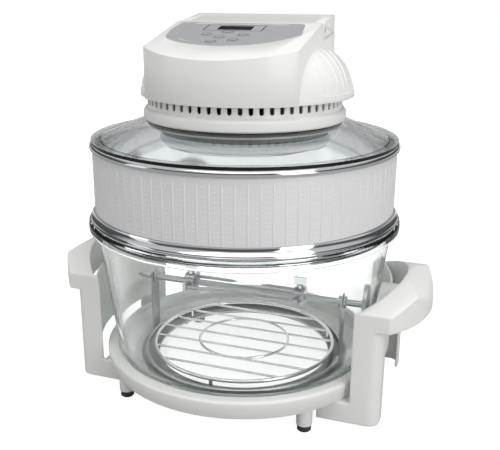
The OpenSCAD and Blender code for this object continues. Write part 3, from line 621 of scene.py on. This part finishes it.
def rounded_loop(points, between=12):
    """A smooth closed curve through points."""
    loop = []
    for i in range(len(points)):
        p0, p1, p2, p3 = (Vector(points[(i + k) % len(points)]) for k in (-1, 0, 1, 2))
        for t in (k / between for k in range(between)):
            loop.append(0.5 * ((2 * p1) + (p2 - p0) * t + (2 * p0 - 5 * p1 + 4 * p2 - p3) * t ** 2
                               + (3 * p1 - p0 - 3 * p2 + p3) * t ** 3))
    return loop


FILM_SHARE = Vector((0.80, 0.92))    # the film's inner edge as a share of its outer one
FILM_STEPS = 6
FILM_RISE, FILM_DEPTH = 0.15, -0.1


def panel_film():
    """The panel's grey film, which laps over the edge of its recess all round."""
    edge = rounded_loop(PANEL_EDGE)
    inner = [PANEL_MIDDLE + (p - PANEL_MIDDLE) * FILM_SHARE for p in edge]
    bm = bmesh.new()
    rings = []
    top = [(k, FILM_RISE) for k in range(FILM_STEPS + 1)]
    for k, lift in [(0, FILM_DEPTH)] + top + [(FILM_STEPS, FILM_DEPTH)]:
        spots = [a.lerp(b, k / FILM_STEPS) for a, b in zip(edge, inner)]
        rings.append([bm.verts.new(Vector((p.x, p.y, PANEL_PLANE(p.x, p.y) + lift)) * MM) for p in spots])
    for one, other in zip(rings, rings[1:] + rings[:1]):
        skin(bm, one, other)
    mesh = closed_mesh("panel_film", bm)
    smooth(mesh)
    finish_piece(mesh_piece("panel_film", mesh), "lid", "panel_grey")


def display_frame():
    """A black line round the display and the blank fields beside it."""
    low, high = span("display_window")
    line = rectangle(low.x - 13, high.x + 11, low.y - 2.5, high.y + 2)
    printed("display_frame", line, 1.0, PANEL_PLANE, "lid", "display_black")


def key_outlines():
    """A dark oval line inside the edge of each key."""
    inset = 3.0
    for key in ("key_light", "key_up", "key_start", "key_mode", "key_down", "key_power"):
        low, high = span(key)
        line = oval((low + high) / 2, high.x - low.x - inset, high.y - low.y - inset)
        printed(key + "_outline", line, 0.9, top_of(key), key + "_body", "black_plastic")


panel_film()
display_frame()
key_outlines()


# ---- raised lines fanned over the head's wings, above a row of pips ----
WING_TOPS = (351, 358.5, 361.5, 362, 361)    # height of each line's upper end, from front to back
WING_FOOT_Z = 326
FOOT_Y, FOOT_STEP = -44.5, 10.1    # the front line's foot, and from each line's foot to the next
TOP_Y, TOP_STEP = -41.0, 13.0
WING_STEPS = 16
BEAD_SECTION = ((-1.2, -0.5), (-0.7, 0.45), (0.0, 0.75), (0.7, 0.45), (1.2, -0.5))
BEAD_END = 0.35           # share of its full section that a line has at its ends
WING_PIPS = 13
PIP_Y, PIP_STEP = -46, 4
WING_PIP_Z = 321
WING_PIP_RINGS = ((0.9, -0.3), (0.8, 0.3), (0.4, 0.5))
WING_PIP_SIDES = 8
OUTSIDE = 200
head_face = surface_of("head_shell")


def on_wing(side, y, z):
    """The point and normal where a level ray from the side meets the head."""
    return head_face((side * OUTSIDE, y, z), (-side, 0, 0))


def bead_along(bm, path, side):
    """A narrow raised bead laid on a wing along a path of (y, z)."""
    spots = [on_wing(side, y, z) for y, z in path]
    last = len(spots) - 1
    outlines = []
    for i, (spot, normal) in enumerate(spots):
        ahead = spots[min(i + 1, last)][0] - spots[max(i - 1, 0)][0]
        across = ahead.cross(normal).normalized()
        full = BEAD_END if i in (0, last) else 1.0
        outlines.append([spot + across * u * full + normal * (r if r < 0 else r * full)
                         for u, r in BEAD_SECTION])
    skinned(bm, outlines)


def wing_pip(bm, side, y):
    """A small round pip on a wing."""
    spot, normal = on_wing(side, y, WING_PIP_Z)
    along = (Vector((0, 1, 0)) - normal * normal.y).normalized()
    up = normal.cross(along)
    turns = [2 * math.pi * k / WING_PIP_SIDES for k in range(WING_PIP_SIDES)]
    skinned(bm, [[spot + (along * math.cos(a) + up * math.sin(a)) * size + normal * rise for a in turns]
                 for size, rise in WING_PIP_RINGS])


def wing_lines():
    bm = bmesh.new()
    for side in (-1, 1):
        for i, top_z in enumerate(WING_TOPS):
            foot_y, top_y = FOOT_Y + FOOT_STEP * i, TOP_Y + TOP_STEP * i
            shares = [k / WING_STEPS for k in range(WING_STEPS + 1)]
            bead_along(bm, [(foot_y + (top_y - foot_y) * t ** 1.6, WING_FOOT_Z + (top_z - WING_FOOT_Z) * t)
                            for t in shares], side)
        for i in range(WING_PIPS):
            wing_pip(bm, side, PIP_Y + PIP_STEP * i)
    mesh = closed_mesh("wing_lines", bm)
    smooth(mesh, math.radians(70))
    finish_piece(mesh_piece("wing_lines", mesh), "lid", "white_abs")


wing_lines()


# ---- stage ----
def looked_at(tree):
    """1 for what the camera sees straight or through glass, else 0."""
    ray = add(tree, "ShaderNodeLightPath")
    return add(tree, "ShaderNodeMath", {"operation": "MAXIMUM"}, {
        0: ray.outputs["Is Camera Ray"], 1: ray.outputs["Is Transmission Ray"]}).outputs[0]


def make_floor():
    """A sheet of white paper that shows almost no shadow."""
    mesh = bpy.data.meshes.new("floor")
    bm = bmesh.new()
    bmesh.ops.create_grid(bm, x_segments=4, y_segments=4, size=4.0)
    bm.to_mesh(mesh)
    bm.free()
    floor = mesh_piece("floor", mesh)
    paper = bpy.data.materials.new("white backdrop paper")
    paper.use_nodes = True
    tree = paper.node_tree
    tree.nodes.clear()
    lit = add(tree, "ShaderNodeBsdfDiffuse", {"Color": hex_colour("#b8b8b8")})
    glow = add(tree, "ShaderNodeEmission", {"Color": (1, 1, 1, 1), "Strength": 0.86})
    sheet = add(tree, "ShaderNodeAddShader", links={0: lit.outputs[0], 1: glow.outputs[0]})
    seen = add(tree, "ShaderNodeMixShader", links={
        0: looked_at(tree), 1: lit.outputs[0], 2: sheet.outputs[0]})
    add(tree, "ShaderNodeOutputMaterial", links={"Surface": seen.outputs[0]})
    mesh.materials.append(paper)


# what mirrored rays see: the sine of the height angle, the level there and that of its blue
WALL_LEVELS = (
    (0.0, 0.9, 0.9), (0.10, 0.12, 0.1224), (0.50, 0.09, 0.0918), (0.66, 0.7, 0.714), (1.0, 0.75, 0.75))


def make_studio():
    """White where it is looked at, even as a light, and dark round the walls in mirrored rays."""
    world = bpy.data.worlds.new("studio")
    bpy.context.scene.world = world
    world.use_nodes = True
    tree = world.node_tree
    tree.nodes.clear()
    sky = add(tree, "ShaderNodeTexCoord").outputs["Generated"]
    axes = add(tree, "ShaderNodeSeparateXYZ", links={0: sky})
    ramp = add(tree, "ShaderNodeValToRGB", links={0: axes.outputs["Z"]})
    stops = ramp.color_ramp.elements
    for position, level, blue in WALL_LEVELS:
        if position == 0.0:
            stop = stops[0]
        elif position == 1.0:
            stop = stops[-1]
        else:
            stop = stops.new(position)
        stop.color = (level, level, blue, 1)
    white = (1, 1, 1, 1)
    walls = add(tree, "ShaderNodeBackground", {"Strength": 1.0}, {"Color": ramp.outputs[0]})
    fill = add(tree, "ShaderNodeBackground", {"Color": white, "Strength": 0.55})
    backdrop = add(tree, "ShaderNodeBackground", {"Color": white, "Strength": 1.0})
    ray = add(tree, "ShaderNodeLightPath")
    mirrored = add(tree, "ShaderNodeMixShader", links={
        0: ray.outputs["Is Glossy Ray"], 1: fill.outputs[0], 2: walls.outputs[0]})
    shown = add(tree, "ShaderNodeMixShader", links={
        0: looked_at(tree), 1: mirrored.outputs[0], 2: backdrop.outputs[0]})
    add(tree, "ShaderNodeOutputWorld", links={"Surface": shown.outputs[0]})


def soft_box(name, place, size, power):
    """A rectangular lamp of so many watts, aimed at the middle of the oven."""
    lamp = bpy.data.lights.new(name, "AREA")
    lamp.shape = "RECTANGLE"
    lamp.size, lamp.size_y = size
    lamp.energy = power
    holder = bpy.data.objects.new(name, lamp)
    bpy.context.scene.collection.objects.link(holder)
    holder.location = place
    holder.rotation_euler = (OVEN_MIDDLE - Vector(place)).to_track_quat("-Z", "Y").to_euler()


OVEN_MIDDLE = Vector((0, 0, 0.2))
make_floor()
make_studio()
soft_box("overhead", (0.2, -0.3, 1.7), (1.6, 1.2), 12)
soft_box("right_side", (1.3, -0.9, 0.7), (0.7, 1.2), 8)
soft_box("left_fill", (-1.3, -0.8, 0.6), (0.5, 1.0), 1.5)
bpy.context.scene.view_settings.view_transform = "Standard"
